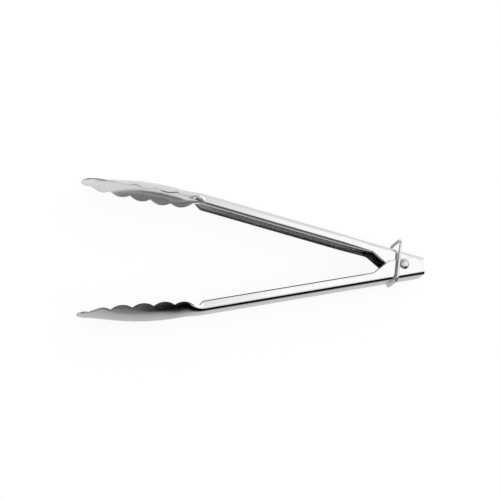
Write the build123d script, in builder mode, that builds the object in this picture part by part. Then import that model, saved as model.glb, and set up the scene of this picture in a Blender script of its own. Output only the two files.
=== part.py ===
"""Spring loaded kitchen tongs: two pressed steel arms, a rivet, a torsion spring and a sliding lock ring.

Each arm is measured in its own frame. u runs from the rivet axis towards the tip, v from the rivet axis
out through the arm's back, and w along the rivet. The tongs lie on their side: the heads point along -X,
the upper arm opens towards +Y and the rivet stands along +Z.
"""

import os
from math import asin, cos, degrees, hypot, pi, radians, sin, sqrt

from build123d import *

# Whole tool
ARM_LENGTH = 235.0  # tail end to tip, along one arm
OPENING = 25.2  # angle between the arms at rest
SHEET = 1.0

# Channel of the handle
CHANNEL_WIDTH = 18.0
CHANNEL_DEPTH = 6.6
BEND = 3.0  # outer radius between web and walls

# Hinge cheeks
TAIL = 13.0  # rivet axis to tail end
PIVOT_DROP = 9.0  # arm's back to rivet axis
CHEEK_RISE = 3.8  # how far the cheeks stand past the rivet axis
CHEEK_FRONT = 10.4  # where the cheek starts to slope down
CHEEK_SLOPE = 12.4  # length of that slope
CHEEK_EASE = 6.0  # radius at both ends of the slope
CHEEK_GAP = 0.15  # between the nested cheeks
STOP_GAP = 0.3  # between the inner cheeks and the outer arm when open
SHOULDER = 25.0  # where the inner arm starts to widen to the full channel
SHOULDER_LENGTH = 20.0

# Scalloped head
HEAD_LENGTH = 81.0  # end of the plain channel to tip
NECK_LENGTH = 16.0  # stretch in which the channel opens into the bowl
NECK_NOTCH = 5.0  # end of the plain channel to the notch before the neck lobe
NECK_NOTCH_DEPTH = 3.7
NECK_CORNER = 2.0
BOWL_RADIUS = 17.2
BOWL_HALF = 13.8  # half width of the bowl's curved part
BOWL_TIP_RADIUS = 100.0  # the bowl flattens to this at the tip
BOWL_FLATTEN = 12  # power of that flattening
CURL_RADIUS = 153.0  # the back curls inwards on this radius
CURL_LENGTH = 44.0
LIP_LENGTH = 20.0  # straight end after the curl
LOBE_COUNT = 5
LOBE_PITCH = 13.7
LOBE_RISE = 2.0
LOBE_RISE_TIP = 1.5
LOBE_RISE_NECK = 2.5
RIM_SETBACK = 6.6  # last notch to tip
RIM_TIP = -2.6  # level of the last notch
RIM_NECK = 2.65  # level of the notch after the neck lobe
TIP_RADIUS = 8.5
TIP_SWEEP = 62.0

# Rivet
RIVET_SHANK = 4.5
RIVET_HEAD = 7.2
RIVET_DOME = 2.0
RIVET_FIT = 0.05  # radial running clearance in the cheeks

# Torsion spring
SPRING_WIRE = 1.4
SPRING_PITCH = 2.4
SPRING_TURNS = 4
SPRING_BORE_GAP = 0.35  # coil to rivet shank
SPRING_SEAT_GAP = 0.15  # leg to web
SPRING_REACH = 24.0  # where a leg meets the web
SPRING_FOOT = 6.0  # straight end that lies along the web
SPRING_ELBOW = 8.0

# Lock ring
RING_WIRE = 2.0
RING_HEIGHT = 26.4  # clear height
RING_SIDE_GAP = 1.1  # each side of the channel
RING_CORNER = 2.6  # inner corner radius
RING_LEAN = 6.8  # from square to the tool's long axis
RING_STAND = 4.3  # ahead of the rivet axis
RING_SEAT_GAP = 0.3  # to the lower arm's back

# Worked out from the sizes above
TIP = ARM_LENGTH - TAIL
NECK = TIP - HEAD_LENGTH
SHOULDER_END = SHOULDER + SHOULDER_LENGTH
EDGE = PIVOT_DROP - CHANNEL_DEPTH
PINCH = SHEET + CHEEK_GAP
MARGIN = 5.0  # how far the forms run past the cut sheet
CHEEK_WALL = PIVOT_DROP - BEND + CHEEK_RISE + MARGIN
CUT_REACH = ARM_LENGTH / 4  # how far the cutting outlines reach to each side
SHOULDER_STEPS = 6
NECK_STEPS = 8
BOWL_STEPS = 10
SAMPLE = 0.4  # spacing of the points on which the spring is measured
UPPER, LOWER = 1, -1


def along(arm, u, v, w=0.0):
    """The point of an arm's own frame, in the part's frame."""
    c = cos(radians(OPENING / 2))
    s = sin(radians(OPENING / 2))
    return Vector(-u * c + v * s, arm * (u * s + v * c), w)


def section_plane(arm, u):
    """Plane across an arm, with x along the rivet and y out through the back."""
    return Plane(along(arm, u, 0), x_dir=(0, 0, arm), z_dir=along(arm, 1, 0))


def side_plane(arm):
    """Plane of an arm's side view, with x = u and y = v."""
    return Plane((0, 0, 0), x_dir=along(arm, 1, 0), z_dir=(0, 0, -arm))


def plan_plane(arm):
    """Plane of an arm's plan view, with x = u."""
    return Plane((0, 0, 0), x_dir=along(arm, 1, 0), z_dir=along(arm, 0, 1))


def stations(start, end, count):
    """Evenly spaced places from start to end."""
    return [start + (end - start) * i / count for i in range(count + 1)]


def ease(u, start, length):
    """Smooth step from 0 to 1 that starts and ends level."""
    t = min(max((u - start) / length, 0.0), 1.0)
    return t * t * (3 - 2 * t)


def back_level(u):
    """Level of the arm's back: straight, then curled inwards over the head and straight at the lip."""
    run = max(u - (TIP - LIP_LENGTH - CURL_LENGTH), 0.0)
    curl = min(run, CURL_LENGTH)
    rise = sqrt(CURL_RADIUS**2 - curl**2)
    return PIVOT_DROP - CURL_RADIUS + rise - (run - curl) * curl / rise


def arm_section(arm, u, wall, inset, pinch=0.0):
    """Cross-section of an arm's outer form, or of its hollow when inset by the sheet."""
    opened = ease(u, NECK, NECK_LENGTH)
    reach = max((u - NECK) / HEAD_LENGTH, 0.0)
    bowl = BOWL_RADIUS + (BOWL_TIP_RADIUS - BOWL_RADIUS) * reach**BOWL_FLATTEN
    half_web = CHANNEL_WIDTH / 2 - BEND - pinch
    crown = opened * asin(half_web / bowl)
    bend = BEND * (bowl / BEND) ** opened
    bend_sweep = pi / 2 + (asin(BOWL_HALF / bowl) - pi / 2) * opened
    sag = half_web * (1 - cos(crown)) / sin(crown) if crown else 0.0
    web_middle = Vector(0, back_level(u) - inset)
    centre = Vector(half_web - bend * sin(crown), back_level(u) - sag - bend * cos(crown))

    def on_bend(angle):
        return centre + Vector(sin(angle), cos(angle)) * (bend - inset)

    def flipped(point):
        return Vector(-point.X, point.Y)

    web_end = on_bend(crown)
    bend_middle = on_bend((crown + bend_sweep) / 2)
    bend_end = on_bend(bend_sweep)
    wall_end = bend_end + Vector(cos(bend_sweep), -sin(bend_sweep)) * (wall + inset)
    with BuildSketch(section_plane(arm, u)) as section:
        with BuildLine():
            if crown:
                ThreePointArc(flipped(web_end), web_middle, web_end)
            else:
                Line(flipped(web_end), web_end)
            ThreePointArc(web_end, bend_middle, bend_end)
            Polyline(bend_end, wall_end, flipped(wall_end), flipped(bend_end))
            ThreePointArc(flipped(bend_end), flipped(bend_middle), flipped(web_end))
        make_face()
    return section.sketch


def sheet(arm, places, wall, pinches=None):
    """Stretch of an arm's sheet through cross-sections at the given places."""
    narrowed = pinches or [0.0] * len(places)
    with BuildPart() as stretch:
        for inset, mode in ((0.0, Mode.ADD), (SHEET, Mode.SUBTRACT)):
            sections = [arm_section(arm, u, wall, inset, pinch) for u, pinch in zip(places, narrowed)]
            loft(sections, ruled=len(places) == 2, mode=mode)
    return stretch.part


def edge_outline(arm):
    """Side view of an arm's cut sheet: cheeks, straight walls, neck notch and lobes."""
    turn = radians(OPENING)
    inner_bend = BEND - SHEET
    bend_rise = inner_bend - sqrt(inner_bend**2 - (inner_bend - CHEEK_GAP) ** 2)
    stop = PIVOT_DROP - SHEET - bend_rise - STOP_GAP
    cheek_round = (TAIL * sin(turn) + CHEEK_RISE * cos(turn) - stop) / (sin(turn) + cos(turn) - 1)
    base = PIVOT_DROP + MARGIN
    steps = LOBE_COUNT - 1
    notches = [Vector(NECK + NECK_NOTCH, EDGE + NECK_NOTCH_DEPTH)]
    for i in range(LOBE_COUNT):
        t = i / steps
        level = RIM_NECK + (RIM_TIP - RIM_NECK) * t
        notches.append(Vector(TIP - RIM_SETBACK - LOBE_PITCH * (steps - i), level))
    rises = [LOBE_RISE_NECK] + [LOBE_RISE] * (LOBE_COUNT - 2) + [LOBE_RISE_TIP]
    with BuildSketch(side_plane(arm)) as outline:
        with BuildLine():
            FilletPolyline(
                (-TAIL, base),
                (-TAIL, -CHEEK_RISE),
                (CHEEK_FRONT, -CHEEK_RISE),
                (CHEEK_FRONT + CHEEK_SLOPE, EDGE),
                (NECK, EDGE),
                notches[0],
                radius=[cheek_round, CHEEK_EASE, CHEEK_EASE, NECK_CORNER],
            )
            for start, end, rise in zip(notches, notches[1:], rises):
                ThreePointArc(start, (start + end) / 2 - Vector(0, rise), end)
            Polyline(
                notches[-1],
                (TIP, RIM_TIP - MARGIN),
                (TIP + MARGIN, RIM_TIP - MARGIN),
                (TIP + MARGIN, base),
                (-TAIL, base),
            )
        make_face()
    return outline.sketch


def tip_outline(arm):
    """Plan view of the head, which rounds its tip."""
    swept = radians(TIP_SWEEP)
    corner = Vector(TIP - TIP_RADIUS * (1 - cos(swept)), TIP_RADIUS * sin(swept))
    flared = corner + Vector(-sin(swept), cos(swept)) * HEAD_LENGTH
    with BuildSketch(plan_plane(arm)) as outline:
        with BuildLine():
            ThreePointArc(corner, (TIP, 0), (corner.X, -corner.Y))
            Polyline(
                (corner.X, -corner.Y),
                (flared.X, -flared.Y),
                (0, -flared.Y),
                (0, flared.Y),
                (flared.X, flared.Y),
                corner,
            )
        make_face()
    return outline.sketch


def hinge_end(arm, pinch):
    """Hinge end of an arm, narrowed by the pinch, cut and drilled."""
    shoulder = stations(SHOULDER, SHOULDER_END, SHOULDER_STEPS if pinch else 1)
    widths = [pinch * (1 - ease(u, SHOULDER, SHOULDER_LENGTH)) for u in shoulder]
    with BuildPart() as end:
        add(sheet(arm, (-TAIL, SHOULDER), CHEEK_WALL, (pinch, pinch)))
        add(sheet(arm, shoulder, CHEEK_WALL, widths))
        extrude(edge_outline(arm), amount=CHANNEL_WIDTH, both=True, mode=Mode.INTERSECT)
        with BuildSketch(side_plane(arm)) as bore:
            Circle(RIVET_SHANK / 2 + RIVET_FIT)
        extrude(bore.sketch, amount=CHANNEL_WIDTH, both=True, mode=Mode.SUBTRACT)
    return end.part


# The same tools press and cut both arms from the shoulder to the tip
with BuildPart() as jaw:
    add(sheet(UPPER, (SHOULDER_END, NECK), CHEEK_WALL))
    add(sheet(UPPER, stations(NECK, NECK + NECK_LENGTH, NECK_STEPS), MARGIN))
    add(sheet(UPPER, stations(NECK + NECK_LENGTH, TIP + MARGIN, BOWL_STEPS), MARGIN))
    extrude(edge_outline(UPPER), amount=CUT_REACH, both=True, mode=Mode.INTERSECT)
    extrude(tip_outline(UPPER), amount=CUT_REACH, both=True, mode=Mode.INTERSECT)

with BuildPart() as upper_arm:
    add(jaw.part)
    add(hinge_end(UPPER, PINCH))

with BuildPart() as lower_arm:
    add(mirror(jaw.part, about=Plane.XZ, mode=Mode.PRIVATE))
    add(hinge_end(LOWER, 0.0))

with BuildPart() as pivot_rivet:
    seat = CHANNEL_WIDTH / 2
    Cylinder(RIVET_SHANK / 2, CHANNEL_WIDTH)
    dome_radius = ((RIVET_HEAD / 2) ** 2 + RIVET_DOME**2) / (2 * RIVET_DOME)
    half_dome = asin(RIVET_HEAD / 2 / dome_radius) / 2
    crown_centre = seat + RIVET_DOME - dome_radius
    with BuildSketch(Plane.XZ) as half_head:
        with BuildLine():
            Polyline((RIVET_HEAD / 2, seat), (0, seat), (0, seat + RIVET_DOME))
            ThreePointArc(
                (0, seat + RIVET_DOME),
                (dome_radius * sin(half_dome), crown_centre + dome_radius * cos(half_dome)),
                (RIVET_HEAD / 2, seat),
            )
        make_face()
    revolve(axis=Axis.Z)
    mirror(about=Plane.XY)

coil_radius = RIVET_SHANK / 2 + SPRING_BORE_GAP + SPRING_WIRE / 2
seat_level = PIVOT_DROP - SHEET - SPRING_SEAT_GAP - SPRING_WIRE / 2
seat_distance = hypot(SPRING_REACH, seat_level)
leg_angle = degrees(asin(seat_level / seat_distance) - asin(coil_radius / seat_distance))
coil_start = OPENING / 2 + leg_angle - 90
coil_sweep = 360 * SPRING_TURNS - 2 * coil_start
quarters = round(coil_sweep / 90)
quarter_angle = coil_sweep / quarters
quarter_rise = SPRING_PITCH * quarter_angle / 360
coil_height = (quarters - 1) * quarter_rise


def coil_node(i):
    """Point and direction of the coil after i quarter turns, level at both ends."""
    angle = radians(coil_start + quarter_angle * i)
    rise = min(max(i - 0.5, 0.0), quarters - 1.0) * quarter_rise - coil_height / 2
    climb = 0.0 if i in (0, quarters) else SPRING_PITCH / (2 * pi * coil_radius)
    point = Vector(coil_radius * cos(angle), coil_radius * sin(angle), rise)
    return point, Vector(-sin(angle), cos(angle), climb).normalized()


def biarc_middle(start, start_way, end, end_way):
    """Point where two arcs meet that are tangent to each other and to the given directions."""
    gap = end - start
    ways = start_way + end_way
    spread = 2 * (1 - start_way.dot(end_way))
    lead = (sqrt(gap.dot(ways) ** 2 + spread * gap.dot(gap)) - gap.dot(ways)) / spread
    return (start + start_way * lead + end - end_way * lead) / 2


def spring_leg(arm, coil_end):
    """Heel and toe of the leg that leans on the inside of an arm's web."""
    heel = along(arm, SPRING_REACH, seat_level, coil_end.Z)
    return heel, along(arm, SPRING_REACH + SPRING_FOOT, seat_level, coil_end.Z)


with BuildPart() as torsion_spring:
    nodes = [coil_node(i) for i in range(quarters + 1)]
    lower_heel, lower_toe = spring_leg(LOWER, nodes[0][0])
    upper_heel, upper_toe = spring_leg(UPPER, nodes[-1][0])
    with BuildLine() as spring_line:
        FilletPolyline(lower_toe, lower_heel, nodes[0][0], radius=SPRING_ELBOW)
        for (start, start_way), (end, end_way) in zip(nodes, nodes[1:]):
            middle = biarc_middle(start, start_way, end, end_way)
            TangentArc(start, middle, tangent=start_way)
            TangentArc(end, middle, tangent=-end_way)
        FilletPolyline(nodes[-1][0], upper_heel, upper_toe, radius=SPRING_ELBOW)
    with BuildSketch(Plane(lower_toe, z_dir=lower_heel - lower_toe)) as spring_end:
        Circle(SPRING_WIRE / 2)
    sweep(spring_end.sketch, path=spring_line.wire())

with BuildPart() as lock_ring:
    half_height = (RING_HEIGHT + RING_WIRE) / 2
    half_width = CHANNEL_WIDTH / 2 + RING_SIDE_GAP + RING_WIRE / 2
    upright = Vector(sin(radians(RING_LEAN)), cos(radians(RING_LEAN)), 0)
    outward = along(LOWER, 0, 1)
    seat_offset = PIVOT_DROP + RING_SEAT_GAP + RING_WIRE / 2
    ring_y = (seat_offset + RING_STAND * outward.X + half_height * upright.dot(outward)) / outward.Y
    ring_plane = Plane((-RING_STAND, ring_y, 0), x_dir=upright, z_dir=upright.cross(Vector(0, 0, 1)))
    corners = [(x * half_height, y * half_width) for x, y in ((1, 1), (1, -1), (-1, -1), (-1, 1))]
    with BuildLine(ring_plane) as loop:
        FilletPolyline(*corners, close=True, radius=RING_CORNER + RING_WIRE / 2)
    with BuildSketch(Plane(loop.line @ 0, z_dir=loop.line % 0)) as loop_end:
        Circle(RING_WIRE / 2)
    sweep(loop_end.sketch, path=loop.wire())


def least_self_gap(line, wire):
    """Smallest space between stretches of a wound wire that aren't neighbours along it."""
    count = int(line.length / SAMPLE)
    points = [line.position_at(i / count) for i in range(count + 1)]
    apart = int(coil_radius * pi / SAMPLE)
    pairs = [(a - b).length for i, a in enumerate(points) for b in points[i + apart :]]
    return min(pairs) - wire


pieces = {
    "lower_arm": lower_arm,
    "upper_arm": upper_arm,
    "pivot_rivet": pivot_rivet,
    "torsion_spring": torsion_spring,
    "lock_ring": lock_ring,
}
box = Compound([piece.part for piece in pieces.values()]).bounding_box()
stand = Location((-box.center().X, -box.center().Y, -box.min.Z))
os.makedirs("parts", exist_ok=True)
for name, piece in pieces.items():
    piece.part.label = name
    piece.part.locate(stand)
    export_step(piece.part, f"parts/{name}.step")
print("least gap between the spring's turns", round(least_self_gap(spring_line.wire(), SPRING_WIRE), 2))
print("rivet axis stands at", stand.position, "overall", box.size)
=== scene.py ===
"""Look of the spring loaded kitchen tongs: polished steel on a white floor, seen as in the photograph."""

from math import acos, asin, cos, hypot, pi, radians, sin, tan

import bpy
from mathutils import Matrix, Vector


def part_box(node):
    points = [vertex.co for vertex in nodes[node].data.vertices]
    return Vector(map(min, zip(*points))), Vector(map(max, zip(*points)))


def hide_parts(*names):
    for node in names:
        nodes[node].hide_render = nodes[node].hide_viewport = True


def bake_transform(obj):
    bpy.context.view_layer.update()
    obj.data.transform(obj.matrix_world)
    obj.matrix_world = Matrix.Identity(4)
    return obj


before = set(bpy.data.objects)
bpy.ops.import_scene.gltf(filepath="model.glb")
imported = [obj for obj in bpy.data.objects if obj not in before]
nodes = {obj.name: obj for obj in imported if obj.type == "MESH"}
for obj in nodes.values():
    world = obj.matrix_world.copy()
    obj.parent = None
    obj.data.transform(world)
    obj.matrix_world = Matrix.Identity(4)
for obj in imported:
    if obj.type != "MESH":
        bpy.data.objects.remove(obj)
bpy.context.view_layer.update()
scene = bpy.context.scene

MM = 0.001
ARM_ANGLE = radians(12.6)  # each arm from the tool's long axis
UPPER, LOWER = 1, -1
LENGTHWAYS = (1, 0, 0)  # from the heads to the hinge
rivet_low, rivet_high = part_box("pivot_rivet")
PIVOT = (rivet_low + rivet_high) / 2


def outward(side):
    """The direction out through an arm's back."""
    return Vector((sin(ARM_ANGLE), side * cos(ARM_ANGLE), 0))


def on_arm(side, u, v, z):
    """A point of an arm's own frame: u along it from the rivet, v out through its back."""
    c, s = cos(ARM_ANGLE), sin(ARM_ANGLE)
    return PIVOT + Vector((-u * c + v * s, side * (u * s + v * c), z))


# Node helpers


def new_material(name):
    """An empty node material, its tree and its output."""
    material = bpy.data.materials.new(name)
    material.use_nodes = True
    tree = material.node_tree
    tree.nodes.clear()
    return material, tree, tree.nodes.new("ShaderNodeOutputMaterial")


def node(tree, kind, **values):
    """A new node with its properties, and its inputs where the value's name is one of theirs."""
    made = tree.nodes.new("ShaderNode" + kind)
    for name, value in values.items():
        if hasattr(made, name):
            setattr(made, name, value)
        else:
            made.inputs[name.replace("_", " ")].default_value = value
    return made


def combine(tree, operation, *values):
    """Numbers and sockets joined one after another by the same maths."""
    result = values[0]
    for value in values[1:]:
        made = node(tree, "Math", operation=operation)
        for socket, operand in zip(made.inputs, (result, value)):
            if isinstance(operand, (int, float)):
                socket.default_value = operand
            else:
                tree.links.new(operand, socket)
        result = made.outputs[0]
    return result


def remap(tree, value, low, high, to_low=0.0, to_high=1.0):
    """A value taken from one span to another, held at its ends."""
    made = node(tree, "MapRange", From_Min=low, From_Max=high, To_Min=to_low, To_Max=to_high)
    tree.links.new(value, made.inputs["Value"])
    return made.outputs["Result"]


def shifted(span, origin):
    """A span that is measured from an origin."""
    return span[0] + origin, span[1] + origin


def noise(tree, vector, scale, stretch=(1, 1, 1), turn=0.0, detail=3.0):
    """Noise in object space, stretched along a direction in the XY plane."""
    mapping = node(tree, "Mapping", Rotation=(0, 0, turn), Scale=stretch)
    texture = node(tree, "TexNoise", Scale=scale, Detail=detail)
    tree.links.new(vector, mapping.inputs["Vector"])
    tree.links.new(mapping.outputs["Vector"], texture.inputs["Vector"])
    return texture.outputs["Fac"]


def along_direction(tree, vector, way):
    """How far a vector reaches along a direction."""
    made = node(tree, "VectorMath", operation="DOT_PRODUCT")
    made.inputs[1].default_value = way
    tree.links.new(vector, made.inputs[0])
    return made.outputs["Value"]


def mixed(tree, share, colour, other):
    """A colour socket taken towards a fixed colour."""
    made = node(tree, "MixRGB", Color2=(*other, 1))
    tree.links.new(share, made.inputs["Fac"])
    tree.links.new(colour, made.inputs["Color1"])
    return made.outputs["Color"]


def mixed_shaders(tree, share, shader, other, output):
    """Two shaders mixed into an output."""
    made = node(tree, "MixShader")
    tree.links.new(share, made.inputs["Fac"])
    tree.links.new(shader.outputs[0], made.inputs[1])
    tree.links.new(other.outputs[0], made.inputs[2])
    tree.links.new(made.outputs["Shader"], output.inputs["Surface"])


# Steel

ARM_STEEL = (0.68, 0.68, 0.69)
RIVET_STEEL = (0.62, 0.62, 0.63)
RING_STEEL = (0.66, 0.66, 0.67)
SPRING_STEEL = (0.52, 0.52, 0.53)
HOLLOW_SHADE = (0.21, 0.21, 0.22)  # painted shade inside the channel, darkest where it is most enclosed
EDGE_DARK = (0.045, 0.045, 0.05)  # darker colour along the cut edges and the channel's edges

# Places along the arms, on the tool's long axis
HEAD_START = -38 * MM
HEAD_FULL = -52 * MM
CHANNEL_FULL = -16 * MM  # from here to the hinge the channel has its full shade
TIP_START = -80 * MM
TIP_END = -112 * MM
TAIL_START = 86 * MM
TAIL_END = 96 * MM
LINE_START = (-36 * MM, -34 * MM)  # where the dark line on the channel's edges comes in
LINE_END = (70 * MM, 76 * MM)  # and where it goes out

# Finish of the arms
SATIN = 0.12  # added roughness of the pressed heads
HOLLOW = 25 * MM  # depth over which the channel counts as a hollow
HOLLOW_SAMPLES = 6
HOLLOW_OPENNESS = (0.7, 0.25)  # open share of the view at the hollow's mouth and in its depth
HEAD_HOLLOW = 0.3  # share of the hollow's shade that the heads have
CHANNEL_DULL = 0.06  # added roughness of the hollow, which no wheel reached
TAIL_DULL = 0.5  # the same at the tail
EDGE_BAND = 2 * MM
EDGE_SAMPLES = 12
EDGE_TURN = (0.975, 0.9)  # cosines of the turn at which an edge starts to count and counts in full
EDGE_LEVEL = 2.4 * MM  # rivet axis to the channel's cut edges
EDGE_REACH = (2 * MM, 3 * MM)  # how far past them an edge counts, so that the bends of the back don't
EDGE_LINE = (0.42 * MM, 0.78 * MM)  # fade of the dark line along them
EDGE_ROUGH = 0.35  # added roughness of the edges
TIP_EDGE_SHARE = 0.1  # share of the edges' darkening that is left at the tip
RIM_PATCHES = {"scale": 110.0, "detail": 0.0}
RIM_PATCH_SPAN = (0.42, 0.58)

# Finish of all the steel
POLISH = {"scale": 900.0, "stretch": (0.03, 1.0, 1.0), "detail": 4.0}  # lines along the piece
POLISH_SPAN = (0.3, 0.7)
POLISH_HEIGHT = 0.03
MARKS = {"scale": 70.0, "stretch": (0.6, 1.0, 1.0), "detail": 5.0}  # from handling
MARK_SPAN = (0.45, 0.75)
TINT_SPAN = (0.3, 0.7)
TINT_LEAST = 0.95  # share of the colour in the darkest marks
HAIRS = {"scale": 2600.0, "stretch": (0.012, 1.0, 1.0), "detail": 1.0}  # fine scratches
HAIR_TURN = 0.35  # from the polishing lines
HAIR_SPAN = (0.68, 0.76)
HAIR_ROUGH = 0.08
HAIR_HEIGHT = -0.02
WAVES = {"scale": 160.0, "stretch": (0.08, 1.0, 1.0), "detail": 0.0}  # of the pressed sheet
BUMP_DEPTH = 0.1 * MM
LEAST_ROUGH = 0.02


def arm_dress(side, rim_least, rim_most):
    """What a pressed arm has on its polish: a satin head, a duller hollow with painted shade in it, and
    darker cut edges.

    The edges round the head are dark in patches, from rim_least to rim_most.
    """

    def dress(tree, place, shade, rough):
        x = along_direction(tree, place, LENGTHWAYS)
        level = along_direction(tree, place, outward(side))
        edge = PIVOT.dot(outward(side)) + EDGE_LEVEL

        # Painted shade in the hollow: the colour darkens where the channel is most enclosed.
        hollow = node(tree, "AmbientOcclusion", samples=HOLLOW_SAMPLES, only_local=True, Distance=HOLLOW)
        hollow_shade = combine(
            tree,
            "MULTIPLY",
            remap(tree, hollow.outputs["AO"], *HOLLOW_OPENNESS),
            remap(tree, x, HEAD_START, CHANNEL_FULL, HEAD_HOLLOW, 1.0),
        )
        dulled = remap(tree, x, TAIL_START, TAIL_END, CHANNEL_DULL, TAIL_DULL)

        eased = node(tree, "Bevel", samples=EDGE_SAMPLES, Radius=EDGE_BAND)
        turned = node(tree, "VectorMath", operation="DOT_PRODUCT")
        tree.links.new(eased.outputs["Normal"], turned.inputs[0])
        tree.links.new(node(tree, "NewGeometry").outputs["Normal"], turned.inputs[1])
        # Darker along the edges: where the surface turns over an edge, near the channel's edges and in
        # patches round the heads.
        edge_mask = combine(
            tree,
            "MULTIPLY",
            remap(tree, turned.outputs["Value"], *EDGE_TURN),
            remap(tree, level, *shifted(EDGE_REACH, edge), 1.0, 0.0),
        )
        rough = combine(
            tree,
            "ADD",
            rough,
            remap(tree, x, HEAD_START, HEAD_FULL, 0.0, SATIN),
            combine(tree, "MULTIPLY", hollow_shade, dulled),
            combine(tree, "MULTIPLY", edge_mask, EDGE_ROUGH),
        )

        line = combine(
            tree,
            "MULTIPLY",
            remap(tree, level, *shifted(EDGE_LINE, edge), 1.0, 0.0),
            remap(tree, x, *LINE_START),
            remap(tree, x, *LINE_END, 1.0, 0.0),
        )
        patches = remap(tree, noise(tree, place, **RIM_PATCHES), *RIM_PATCH_SPAN, rim_least, rim_most)
        dark = combine(
            tree,
            "MULTIPLY",
            combine(tree, "MAXIMUM", edge_mask, line),
            remap(tree, x, TAIL_START, TAIL_END, 1.0, 0.0),
            remap(tree, x, TIP_END, TIP_START, TIP_EDGE_SHARE, 1.0),
            combine(tree, "MAXIMUM", remap(tree, x, HEAD_FULL, HEAD_START), patches),
        )
        # The hollow's painted shade goes in first, then the darkening along the edges.
        return mixed(tree, dark, mixed(tree, hollow_shade, shade, HOLLOW_SHADE), EDGE_DARK), rough

    return dress


def steel(name, colour, shine, grain_turn, grain=0.03, dull=0.04, wave=0.0, dress=None):
    """Polished stainless steel: polishing lines along the piece, faint handling marks and hair scratches."""
    material, tree, output = new_material(name)
    bsdf = node(tree, "BsdfPrincipled", Metallic=1.0)
    place = node(tree, "TexCoord").outputs["Object"]
    lines = noise(tree, place, turn=grain_turn, **POLISH)
    marks = noise(tree, place, turn=grain_turn, **MARKS)
    hair = remap(tree, noise(tree, place, turn=grain_turn + HAIR_TURN, **HAIRS), *HAIR_SPAN)
    waves = noise(tree, place, turn=grain_turn, **WAVES)
    rough = combine(
        tree,
        "ADD",
        remap(tree, lines, *POLISH_SPAN, -grain, grain),
        shine,
        remap(tree, marks, *MARK_SPAN, 0.0, dull),
        combine(tree, "MULTIPLY", hair, HAIR_ROUGH),
    )
    tint = node(tree, "ValToRGB")
    for stop, position, share in zip(tint.color_ramp.elements, TINT_SPAN, (TINT_LEAST, 1.0)):
        stop.position = position
        stop.color = (*[channel * share for channel in colour], 1)
    tree.links.new(marks, tint.inputs["Fac"])
    shade = tint.outputs["Color"]
    if dress:
        shade, rough = dress(tree, place, shade, rough)
    height = combine(
        tree,
        "ADD",
        combine(tree, "MULTIPLY", lines, POLISH_HEIGHT),
        combine(tree, "MULTIPLY", hair, HAIR_HEIGHT),
        combine(tree, "MULTIPLY", waves, wave),
    )
    bump = node(tree, "Bump", Strength=1.0, Distance=BUMP_DEPTH)
    tree.links.new(height, bump.inputs["Height"])
    tree.links.new(combine(tree, "MAXIMUM", rough, LEAST_ROUGH), bsdf.inputs["Roughness"])
    tree.links.new(shade, bsdf.inputs["Base Color"])
    tree.links.new(bump.outputs["Normal"], bsdf.inputs["Normal"])
    tree.links.new(bsdf.outputs["BSDF"], output.inputs["Surface"])
    return material


def arm_steel(name, side, rim_least, rim_most):
    """The polished sheet of an arm."""
    dress = arm_dress(side, rim_least, rim_most)
    return steel(name, ARM_STEEL, shine=0.04, grain_turn=side * ARM_ANGLE, wave=0.15, dress=dress)


finishes = {
    "lower_arm": arm_steel("polished_steel_lower", LOWER, rim_least=0.9, rim_most=1.0),
    "upper_arm": arm_steel("polished_steel_upper", UPPER, rim_least=0.1, rim_most=0.9),
    "pivot_rivet": steel("tumbled_steel", RIVET_STEEL, shine=0.22, grain_turn=0.0, grain=0.05, dull=0.08),
    "lock_ring": steel("bright_wire", RING_STEEL, shine=0.08, grain_turn=pi / 2),
}
for name, finish in finishes.items():
    nodes[name].data.materials.clear()
    nodes[name].data.materials.append(finish)
    for polygon in nodes[name].data.polygons:
        polygon.use_smooth = True


# Torsion spring: the same winding as the solid, drawn finer so that its legs follow both arms

WIRE = 1.4 * MM
WIRE_SIDES = 28
WIRE_END = 0.78  # share of the thickness at the wire's rounded ends
WIRE_END_LENGTH = 0.12  # length of that rounding, in thicknesses
COIL = 3.3 * MM  # coil radius at the middle of the wire
PITCH = 2.4 * MM
TURNS = 4
TURN_STEPS = 56
LEVEL_TURN = pi / 4  # turn at each end of the coil that doesn't climb
SEAT = 7.15 * MM  # rivet axis to the middle of a leg's foot
REACH = 24 * MM
FOOT = 6 * MM
ELBOW = 8 * MM
ELBOW_STEPS = 12


def rounded(start, corner, end, radius):
    """Points of an arc that rounds the corner between two straight runs."""
    a, b = (start - corner).normalized(), (end - corner).normalized()
    half = acos(max(-1.0, min(1.0, a.dot(b)))) / 2
    first, last = corner + a * (radius / tan(half)), corner + b * (radius / tan(half))
    centre = corner + (a + b).normalized() * (radius / sin(half))
    points = []
    for i in range(ELBOW_STEPS + 1):
        ray = (first - centre).lerp(last - centre, i / ELBOW_STEPS)
        points.append(centre + ray.normalized() * radius)
    return points


def spring_path():
    """The spring's middle line from the lower arm's foot to the upper arm's."""
    far = hypot(REACH, SEAT)
    leg = asin(SEAT / far) - asin(COIL / far)
    start = ARM_ANGLE + leg - pi / 2
    sweep = 2 * pi * TURNS - 2 * start
    climbing = sweep - 2 * LEVEL_TURN
    rise = PITCH * climbing / (2 * pi)
    coil = []
    count = int(TURN_STEPS * sweep / (2 * pi))
    for i in range(count + 1):
        angle = sweep * i / count
        climb = min(max(angle - LEVEL_TURN, 0.0), climbing) / climbing
        lean = start + angle
        coil.append(PIVOT + Vector((COIL * cos(lean), COIL * sin(lean), rise * (climb - 0.5))))
    legs = []
    for side, end in ((LOWER, coil[0]), (UPPER, coil[-1])):
        z = end.z - PIVOT.z
        toe, heel = on_arm(side, REACH + FOOT, SEAT, z), on_arm(side, REACH, SEAT, z)
        legs.append([toe] + rounded(toe, heel, end, ELBOW))
    return legs[0] + coil + legs[1][::-1]


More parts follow.
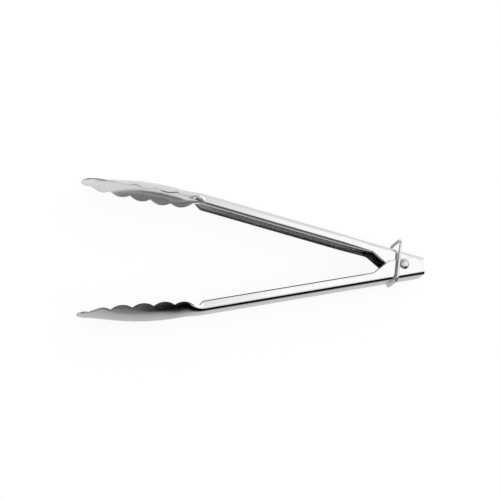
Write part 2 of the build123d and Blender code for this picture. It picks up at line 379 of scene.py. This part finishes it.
def tube(name, points, thickness, sides):
    """A closed round wire along points, its ends slightly rounded."""
    tangents = []
    for i in range(len(points)):
        before, after = points[max(i - 1, 0)], points[min(i + 1, len(points) - 1)]
        tangents.append((after - before).normalized())
    first, last = tangents[0], tangents[-1]
    ease = WIRE_END_LENGTH * thickness
    stations = [(points[0], first, WIRE_END), (points[0] + first * ease, first, 1.0)]
    stations += [(point, tangent, 1.0) for point, tangent in zip(points[1:-1], tangents[1:-1])]
    stations += [(points[-1] - last * ease, last, 1.0), (points[-1], last, WIRE_END)]
    across = Vector((0, 0, 1))
    verts, faces = [], []
    for point, tangent, size in stations:
        across = (across - tangent * across.dot(tangent)).normalized()
        up = tangent.cross(across)
        for k in range(sides):
            angle = 2 * pi * k / sides
            verts.append(point + (across * cos(angle) + up * sin(angle)) * (thickness / 2) * size)
    for i in range(len(stations) - 1):
        for k in range(sides):
            a, b = i * sides + k, i * sides + (k + 1) % sides
            faces.append((a, b, b + sides, a + sides))
    faces.append(tuple(reversed(range(sides))))
    faces.append(tuple(range(len(verts) - sides, len(verts))))
    mesh = bpy.data.meshes.new(name)
    mesh.from_pydata([tuple(vert) for vert in verts], [], faces)
    for polygon in mesh.polygons:
        polygon.use_smooth = len(polygon.vertices) == 4
    piece = bpy.data.objects.new(name, mesh)
    scene.collection.objects.link(piece)
    return piece


spring = tube("spring_wire", spring_path(), WIRE, WIRE_SIDES)
spring.data.materials.append(steel("drawn_wire", SPRING_STEEL, shine=0.22, grain_turn=0.0, grain=0.06))
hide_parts("torsion_spring")
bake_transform(spring)


# Studio floor, with painted dark reflections on it: black sheets that only the steel sees

FLOOR_HALF = 4.0
FLOOR_WHITE = (0.90, 0.90, 0.90, 1)
FLOOR_GLOW = 1.04
FLOOR_SHOWN = 0.86  # share of plain white in the floor that the camera and the mirroring steel see
WHITE = (1, 1, 1, 1)
# colour of the painted dark reflections
REFLECTED_BLACK = (0.01, 0.01, 0.01, 1)
SHADE_SHEET_LEVEL = 0.05 * MM
BLACK_EDGE = Vector((0.98, 0.199, 0))  # across the left edge of the black surroundings

# Painted dark reflections beside the lower arm: how dark they are, and where they come in, from the arm's
# back
ARM_BACK = 9 * MM  # rivet axis to the back
NEAR_REFLECTED_SHADE = 0.34
NEAR_SPAN = (-8 * MM, 4 * MM)
SOFT_REFLECTED_SHADE = 0.36
SOFT_SPAN = (15 * MM, 120 * MM)
FULL_REFLECTED_SHADE = 0.65
FULL_SPAN = (10 * MM, 50 * MM)
FULL_START = (-70.415 * MM, -35.415 * MM)  # where the darkest comes in along BLACK_EDGE
CURL_SPAN = (-65 * MM, -131 * MM)  # where their edges turn in with the heads, on the long axis
CURL_DEPTH = 18 * MM

# Painted dark reflection between the two heads: where it comes in from each arm, from the rivet axis, and on
# the long axis
BETWEEN_REFLECTED_SHADE = 0.86
BETWEEN_UPPER = (-14 * MM, -22 * MM)
BETWEEN_LOWER = (-6 * MM, 2 * MM)
BETWEEN_NECKS = (-30 * MM, -50 * MM)
BETWEEN_TIPS = (-88 * MM, -72 * MM)

# Small painted dark reflection beside the lock ring
RING_REFLECTED_SHADE = 0.55
RING_SHADE_SPAN = (10 * MM, 24 * MM)
RING_SHADE_PAST = 2 * MM  # from the ring's box to the middle of that painted reflection, towards the heads
RING_SHADE_IN = 4 * MM  # and in from the box's upper side


def plane(name, z, material):
    """A flat square stage piece."""
    corners = [(x * FLOOR_HALF, y * FLOOR_HALF, z) for x, y in ((-1, -1), (1, -1), (1, 1), (-1, 1))]
    mesh = bpy.data.meshes.new(name)
    mesh.from_pydata(corners, [], [tuple(range(len(corners)))])
    mesh.materials.append(material)
    piece = bpy.data.objects.new(name, mesh)
    scene.collection.objects.link(piece)
    return piece


def floor_material():
    """Matt white floor that shows as white, with the soft shadow of what lies on it."""
    material, tree, output = new_material("studio_floor")
    rays = node(tree, "LightPath").outputs
    seen = combine(
        tree, "MAXIMUM", rays["Is Camera Ray"], rays["Is Glossy Ray"], rays["Is Transmission Ray"]
    )
    matt = node(tree, "BsdfDiffuse", Color=FLOOR_WHITE)
    glow = node(tree, "Emission", Color=WHITE, Strength=FLOOR_GLOW)
    mixed_shaders(tree, combine(tree, "MULTIPLY", seen, FLOOR_SHOWN), matt, glow, output)
    return material


def reflected_shade_material():
    """Painted dark reflections: black sheets that only the steel sees, clear elsewhere."""
    material, tree, output = new_material("painted_floor_reflection")
    place = node(tree, "NewGeometry").outputs["Position"]
    x = along_direction(tree, place, LENGTHWAYS)
    curl = remap(tree, x, *CURL_SPAN, 0.0, CURL_DEPTH)
    straight = along_direction(tree, place, outward(LOWER))
    lower = combine(tree, "ADD", straight, curl)
    upper = combine(tree, "ADD", along_direction(tree, place, outward(UPPER)), curl)
    upper_axis = PIVOT.dot(outward(UPPER))
    lower_axis = PIVOT.dot(outward(LOWER))
    back = lower_axis + ARM_BACK

    near = remap(tree, lower, *shifted(NEAR_SPAN, back), 0.0, NEAR_REFLECTED_SHADE)
    soft = remap(tree, lower, *shifted(SOFT_SPAN, back), 0.0, SOFT_REFLECTED_SHADE)
    full = combine(
        tree,
        "MULTIPLY",
        remap(tree, straight, *shifted(FULL_SPAN, back), 0.0, FULL_REFLECTED_SHADE),
        remap(tree, along_direction(tree, place, BLACK_EDGE), *FULL_START),
    )
    between = combine(
        tree,
        "MULTIPLY",
        remap(tree, upper, *shifted(BETWEEN_UPPER, upper_axis), 0.0, BETWEEN_REFLECTED_SHADE),
        remap(tree, lower, *shifted(BETWEEN_LOWER, lower_axis), 1.0, 0.0),
        remap(tree, x, *BETWEEN_NECKS),
        remap(tree, x, *BETWEEN_TIPS),
    )
    shade = combine(tree, "ADD", near, combine(tree, "MAXIMUM", soft, full), between)

    ring_low, ring_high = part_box("lock_ring")
    from_ring = node(tree, "VectorMath", operation="DISTANCE")
    from_ring.inputs[1].default_value = (ring_low.x - RING_SHADE_PAST, ring_high.y - RING_SHADE_IN, 0)
    tree.links.new(place, from_ring.inputs[0])
    spot = remap(tree, from_ring.outputs["Value"], *RING_SHADE_SPAN, RING_REFLECTED_SHADE, 0.0)

    clear = node(tree, "BsdfTransparent")
    black = node(tree, "BsdfDiffuse", Color=REFLECTED_BLACK)
    mixed_shaders(tree, combine(tree, "MAXIMUM", shade, spot), clear, black, output)
    return material


plane("floor", 0, floor_material())
reflection_shade_sheet = plane("painted_floor_reflection", SHADE_SHEET_LEVEL, reflected_shade_material())
# Only the steel's reflections see this sheet: it paints dark reflections, casts no shadow and lights
# nothing.
reflection_shade_sheet.visible_camera = False
reflection_shade_sheet.visible_diffuse = False
reflection_shade_sheet.visible_shadow = False


# Studio light: bright soft surroundings with dark patches, and plain white for the camera

BLACK_SPAN = (-0.07, 0.09)  # fade across the left edge of the black surroundings

world = bpy.data.worlds.new("studio")
scene.world = world
world.use_nodes = True
sky = world.node_tree
sky.nodes.clear()
direction = node(sky, "TexCoord").outputs["Generated"]


def sky_patch(azimuth, elevation, full, none, there, elsewhere=1.0):
    """A round patch of the surroundings: its level within one angle, and the level outside another."""
    a, e = radians(azimuth), radians(elevation)
    facing = along_direction(sky, direction, (cos(a) * cos(e), sin(a) * cos(e), sin(e)))
    return remap(sky, facing, cos(radians(none)), cos(radians(full)), elsewhere, there)


black_surroundings = combine(
    sky,
    "MAXIMUM",
    sky_patch(azimuth=-54, elevation=14, full=23.5, none=27.5, there=0.0),
    remap(sky, along_direction(sky, direction, BLACK_EDGE), *BLACK_SPAN, 1.0, 0.0),
)
light = combine(
    sky,
    "MULTIPLY",
    sky_patch(azimuth=10, elevation=50, full=26, none=30.5, there=1.44, elsewhere=1.06),
    sky_patch(azimuth=-108, elevation=12, full=34, none=46, there=0.25),
    black_surroundings,
    sky_patch(azimuth=168, elevation=12, full=24, none=46, there=0.14),
    sky_patch(azimuth=108, elevation=32, full=20, none=30, there=0.4),
)
around = node(sky, "Background", Color=WHITE)
sky.links.new(light, around.inputs["Strength"])
backdrop = node(sky, "Background", Color=WHITE, Strength=1.0)
seen_by_camera = node(sky, "LightPath").outputs["Is Camera Ray"]
mixed_shaders(sky, seen_by_camera, around, backdrop, node(sky, "OutputWorld"))


# Camera, fitted to the outline in the photograph

RIGHT = Vector((0.97671, 0.00727, 0.21444))
UP = Vector((-0.06135, 0.96716, 0.24665))
BACK = Vector((-0.20561, -0.25407, 0.94508))
FROM_PIVOT = Vector((-305.703, -243.709, 926.108)) * MM
SENSOR_WIDTH = 36.0
LENS = 106.24

camera_data = bpy.data.cameras.new("camera")
camera_data.sensor_width = SENSOR_WIDTH
camera_data.lens = LENS
camera = bpy.data.objects.new("camera", camera_data)
turn = Matrix((RIGHT, UP, BACK)).transposed().to_4x4()
camera.matrix_world = Matrix.Translation(PIVOT + FROM_PIVOT) @ turn
scene.collection.objects.link(camera)
scene.camera = camera

scene.view_settings.view_transform = "Standard"

bpy.context.view_layer.update()
